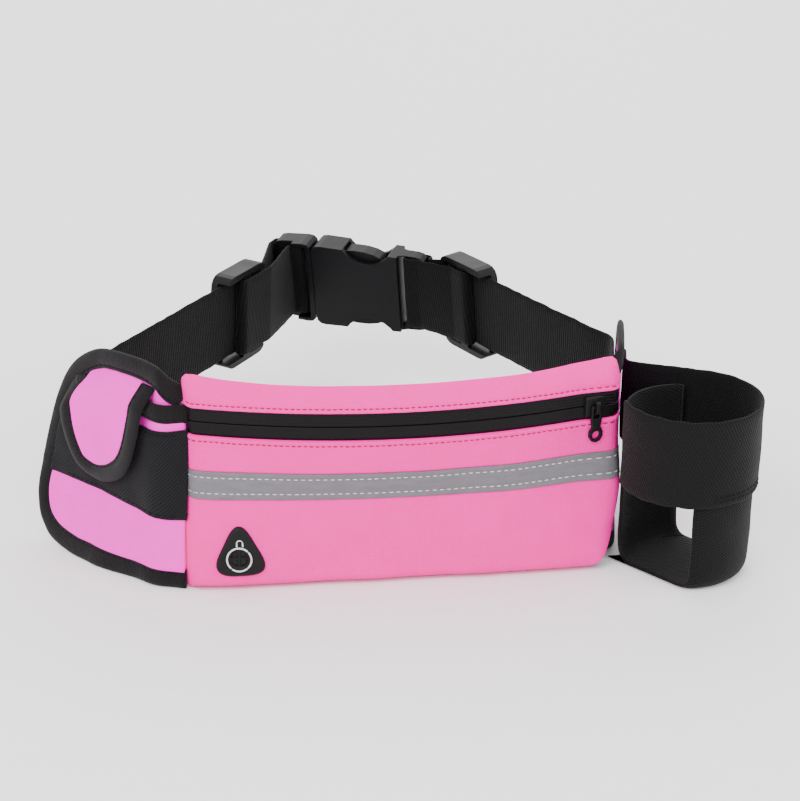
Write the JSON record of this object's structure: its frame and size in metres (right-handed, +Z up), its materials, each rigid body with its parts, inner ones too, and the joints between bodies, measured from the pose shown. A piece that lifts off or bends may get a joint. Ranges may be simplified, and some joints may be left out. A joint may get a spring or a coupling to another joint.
{
  "type": "waist pack",
  "caption": "Running waist pack with a curved zipped pouch, a flapped side pocket, a webbing bottle holder and an adjustable belt with a side-release buckle.",
  "frame": {"origin": "middle of the buckled pack's bounding box, at the level that it stands on", "axes": "+X to the right along the pouch, towards the bottle holder; -Y is where the pouch faces; +Z up"},
  "size_m": [0.315, 0.273, 0.0985],
  "materials": {
    "pink_neoprene": "knitted face over foam rubber, matt",
    "black_mesh": "open spacer mesh, matt",
    "black_binding": "folded woven tape, stitched",
    "black_webbing": "ribbed webbing, matt",
    "zipper_tape": "coated water-resistant tape, satin",
    "zipper_nylon": "moulded coil",
    "zipper_metal": "black enamel, satin",
    "reflective_grey": "silver-grey reflective tape, satin",
    "black_rubber": "moulded, matt",
    "hook_and_loop": "hook and loop pile",
    "buckle_plastic": "moulded acetal, fine satin texture"
  },
  "bodies": {
    "pack": {"pouch_back_panel": "black_mesh", "pouch_front_lower_panel": "pink_neoprene", "pouch_front_upper_panel": "pink_neoprene", "zipper_tape_lower": "zipper_tape", "zipper_tape_upper": "zipper_tape", "zipper_coil_lower": "zipper_nylon", "zipper_coil_upper": "zipper_nylon", "zipper_stop_left": "zipper_metal", "zipper_stop_right": "zipper_metal", "reflective_strip": "reflective_grey", "headphone_port": "black_rubber", "left_wing_binding": "black_binding", "left_wing_panel": "pink_neoprene", "left_pocket_panel": "pink_neoprene", "left_pocket_binding": "black_binding", "left_elastic_band": "black_webbing", "pocket_loop_patch": "hook_and_loop", "right_wing_binding": "black_binding", "right_wing_panel": "pink_neoprene", "bottle_band": "black_webbing", "bottle_cradle_strap": "black_webbing", "buckle_female": "buckle_plastic", "left_strap": "black_webbing", "right_strap": "black_webbing", "right_strap_tail": "black_webbing"},
    "zipper_slider": {"zipper_slider": "zipper_metal"},
    "zipper_pull": {"zipper_pull": "zipper_metal"},
    "pocket_flap": {"flap_panel": "pink_neoprene", "flap_binding": "black_binding", "flap_hook_patch": "hook_and_loop"},
    "buckle_male_side": {"buckle_male": "buckle_plastic", "left_strap_tail": "black_webbing"},
    "latch_arm_upper": {"latch_arm_upper": "buckle_plastic"},
    "latch_arm_lower": {"latch_arm_lower": "buckle_plastic"},
    "left_slider": {"left_slider": "buckle_plastic"},
    "right_slider": {"right_slider": "buckle_plastic"}
  },
  "joints": [
    {"name": "zipper_travel", "type": "hinge", "parent": "pack", "child": "zipper_slider", "pos_m": [0.00237, 0.15692, 0.0754], "axis": [0, 0, 1], "range_deg": [-34.8, 0]},
    {"name": "zipper_pull_swing", "type": "hinge", "parent": "zipper_slider", "child": "zipper_pull", "pos_m": [0.08639, -0.10272, 0.0754], "axis": [-0.9514, -0.3079, 0], "range_deg": [0, 150]},
    {"name": "flap_lift", "type": "hinge", "parent": "pack", "child": "pocket_flap", "pos_m": [-0.12243, -0.07386, 0.089], "axis": [-0.6762, 0.7367, 0], "range_deg": [0, 110]},
    {"name": "buckle_release", "type": "slide", "parent": "pack", "child": "buckle_male_side", "axis": [-0.8942, 0.4478, 0], "range_m": [0, 0.038], "deforming": ["left_strap", "latch_arm_upper", "latch_arm_lower"]},
    {"name": "latch_squeeze_upper", "type": "hinge", "parent": "buckle_male_side", "child": "latch_arm_upper", "pos_m": [-0.01442, 0.11534, 0.07231], "axis": [0.441, 0.8806, 0.1736], "range_deg": [0, 7], "stiffness_Nm_per_rad": 0.1},
    {"name": "latch_squeeze_lower", "type": "hinge", "parent": "buckle_male_side", "child": "latch_arm_lower", "pos_m": [-0.01248, 0.11922, 0.04769], "axis": [0.441, 0.8806, 0.1736], "range_deg": [-7, 0], "stiffness_Nm_per_rad": 0.1},
    {"name": "left_slider_travel", "type": "slide", "parent": "buckle_male_side", "child": "left_slider", "axis": [-0.549, -0.8358, 0], "range_m": [0, 0.045], "deforming": ["left_strap_tail"]},
    {"name": "right_slider_travel", "type": "slide", "parent": "pack", "child": "right_slider", "axis": [0.4446, -0.8957, 0], "range_m": [0, 0.07], "deforming": ["right_strap_tail"]}
  ],
  "couplings": [
    {"joint": "latch_squeeze_lower", "follows": "latch_squeeze_upper", "ratio": -1}
  ]
}
